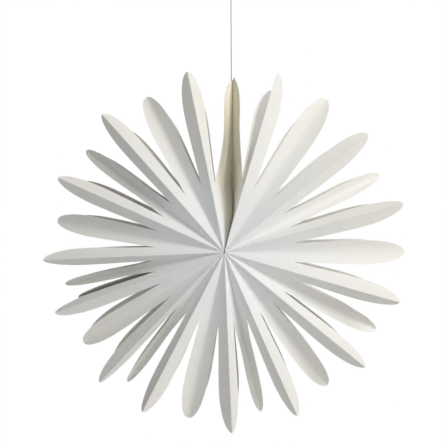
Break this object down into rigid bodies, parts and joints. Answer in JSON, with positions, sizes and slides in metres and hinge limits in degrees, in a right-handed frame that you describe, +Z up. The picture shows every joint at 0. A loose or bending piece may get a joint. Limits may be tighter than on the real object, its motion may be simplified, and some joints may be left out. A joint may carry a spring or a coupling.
{
  "type": "paper snowflake star",
  "caption": "Hanging fan-fold paper star with long rounded petals front and back, V-folded pleats between flat ribs, a seam at the top and a cord with a hanging loop.",
  "frame": {"origin": "top of the hanging loop", "axes": "+Z up, -Y out of the star's front, +X to the right as seen from the front"},
  "size_m": [0.4563, 0.153, 0.6108],
  "materials": {
    "rib_paper": "matte",
    "pleat_paper": "matte",
    "end_paper": "matte",
    "cord": "matte"
  },
  "bodies": {
    "end_a": {"end_panel_a": "end_paper", "cord": "cord", "tie_knot": "cord", "loop_knot": "cord", "hang_loop": "cord"},
    "leaf_01": {"rib_01": "rib_paper", "pleat_front_01": "pleat_paper", "pleat_back_01": "pleat_paper"},
    "leaf_02": {"rib_02": "rib_paper", "pleat_front_02": "pleat_paper", "pleat_back_02": "pleat_paper"},
    "leaf_03": {"rib_03": "rib_paper", "pleat_front_03": "pleat_paper", "pleat_back_03": "pleat_paper"},
    "leaf_04": {"rib_04": "rib_paper", "pleat_front_04": "pleat_paper", "pleat_back_04": "pleat_paper"},
    "leaf_05": {"rib_05": "rib_paper", "pleat_front_05": "pleat_paper", "pleat_back_05": "pleat_paper"},
    "leaf_06": {"rib_06": "rib_paper", "pleat_front_06": "pleat_paper", "pleat_back_06": "pleat_paper"},
    "leaf_07": {"rib_07": "rib_paper", "pleat_front_07": "pleat_paper", "pleat_back_07": "pleat_paper"},
    "leaf_08": {"rib_08": "rib_paper", "pleat_front_08": "pleat_paper", "pleat_back_08": "pleat_paper"},
    "leaf_09": {"rib_09": "rib_paper", "pleat_front_09": "pleat_paper", "pleat_back_09": "pleat_paper"},
    "leaf_10": {"rib_10": "rib_paper", "pleat_front_10": "pleat_paper", "pleat_back_10": "pleat_paper"},
    "leaf_11": {"rib_11": "rib_paper", "pleat_front_11": "pleat_paper", "pleat_back_11": "pleat_paper"},
    "leaf_12": {"rib_12": "rib_paper", "pleat_front_12": "pleat_paper", "pleat_back_12": "pleat_paper"},
    "end_b": {"end_panel_b": "end_paper", "pleat_front_13": "pleat_paper", "pleat_back_13": "pleat_paper"}
  },
  "joints": [
    {"name": "fold_01", "type": "hinge", "parent": "end_a", "child": "leaf_01", "pos_m": [-0.01003, 0, -0.38391], "axis": [0, 1, 0], "range_deg": [0, 29.4], "deforming": ["pleat_front_01", "pleat_back_01"]},
    {"name": "fold_02", "type": "hinge", "parent": "leaf_01", "child": "leaf_02", "pos_m": [-0.01129, 0, -0.3843], "axis": [0, 1, 0], "range_deg": [0, 23.9], "deforming": ["pleat_front_02", "pleat_back_02"]},
    {"name": "fold_03", "type": "hinge", "parent": "leaf_02", "child": "leaf_03", "pos_m": [-0.01146, 0, -0.38554], "axis": [0, 1, 0], "range_deg": [0, 26.2], "deforming": ["pleat_front_03", "pleat_back_03"]},
    {"name": "fold_04", "type": "hinge", "parent": "leaf_03", "child": "leaf_04", "pos_m": [-0.01327, 0, -0.38684], "axis": [0, 1, 0], "range_deg": [0, 14.1], "deforming": ["pleat_front_04", "pleat_back_04"]},
    {"name": "fold_05", "type": "hinge", "parent": "leaf_04", "child": "leaf_05", "pos_m": [-0.01121, 0, -0.3874], "axis": [0, 1, 0], "range_deg": [0, 26.15], "deforming": ["pleat_front_05", "pleat_back_05"]},
    {"name": "fold_06", "type": "hinge", "parent": "leaf_05", "child": "leaf_06", "pos_m": [-0.01123, 0, -0.38914], "axis": [0, 1, 0], "range_deg": [0, 16.15], "deforming": ["pleat_front_06", "pleat_back_06"]},
    {"name": "fold_07", "type": "hinge", "parent": "leaf_06", "child": "leaf_07", "pos_m": [-0.00947, 0, -0.38829], "axis": [0, 1, 0], "range_deg": [0, 29.3], "deforming": ["pleat_front_07", "pleat_back_07"]},
    {"name": "fold_08", "type": "hinge", "parent": "leaf_07", "child": "leaf_08", "pos_m": [-0.00822, 0, -0.3892], "axis": [0, 1, 0], "range_deg": [0, 20], "deforming": ["pleat_front_08", "pleat_back_08"]},
    {"name": "fold_09", "type": "hinge", "parent": "leaf_08", "child": "leaf_09", "pos_m": [-0.00741, 0, -0.38806], "axis": [0, 1, 0], "range_deg": [0, 26.1], "deforming": ["pleat_front_09", "pleat_back_09"]},
    {"name": "fold_10", "type": "hinge", "parent": "leaf_09", "child": "leaf_10", "pos_m": [-0.00635, 0, -0.38738], "axis": [0, 1, 0], "range_deg": [0, 22.8], "deforming": ["pleat_front_10", "pleat_back_10"]},
    {"name": "fold_11", "type": "hinge", "parent": "leaf_10", "child": "leaf_11", "pos_m": [-0.00677, 0, -0.38601], "axis": [0, 1, 0], "range_deg": [0, 30.8], "deforming": ["pleat_front_11", "pleat_back_11"]},
    {"name": "fold_12", "type": "hinge", "parent": "leaf_11", "child": "leaf_12", "pos_m": [-0.00645, 0, -0.38468], "axis": [0, 1, 0], "range_deg": [0, 23.7], "deforming": ["pleat_front_12", "pleat_back_12"]},
    {"name": "fold_13", "type": "hinge", "parent": "leaf_12", "child": "end_b", "pos_m": [-0.00789, 0, -0.38432], "axis": [0, 1, 0], "range_deg": [0, 33.95], "deforming": ["pleat_front_13", "pleat_back_13"]}
  ],
  "couplings": [
    {"joint": "fold_02", "follows": "fold_01", "ratio": 0.81292},
    {"joint": "fold_03", "follows": "fold_01", "ratio": 0.89115},
    {"joint": "fold_04", "follows": "fold_01", "ratio": 0.47959},
    {"joint": "fold_05", "follows": "fold_01", "ratio": 0.88945},
    {"joint": "fold_06", "follows": "fold_01", "ratio": 0.54931},
    {"joint": "fold_07", "follows": "fold_01", "ratio": 0.99659},
    {"joint": "fold_08", "follows": "fold_01", "ratio": 0.68027},
    {"joint": "fold_09", "follows": "fold_01", "ratio": 0.88775},
    {"joint": "fold_10", "follows": "fold_01", "ratio": 0.77551},
    {"joint": "fold_11", "follows": "fold_01", "ratio": 1.0476},
    {"joint": "fold_12", "follows": "fold_01", "ratio": 0.80612},
    {"joint": "fold_13", "follows": "fold_01", "ratio": 1.1548}
  ]
}
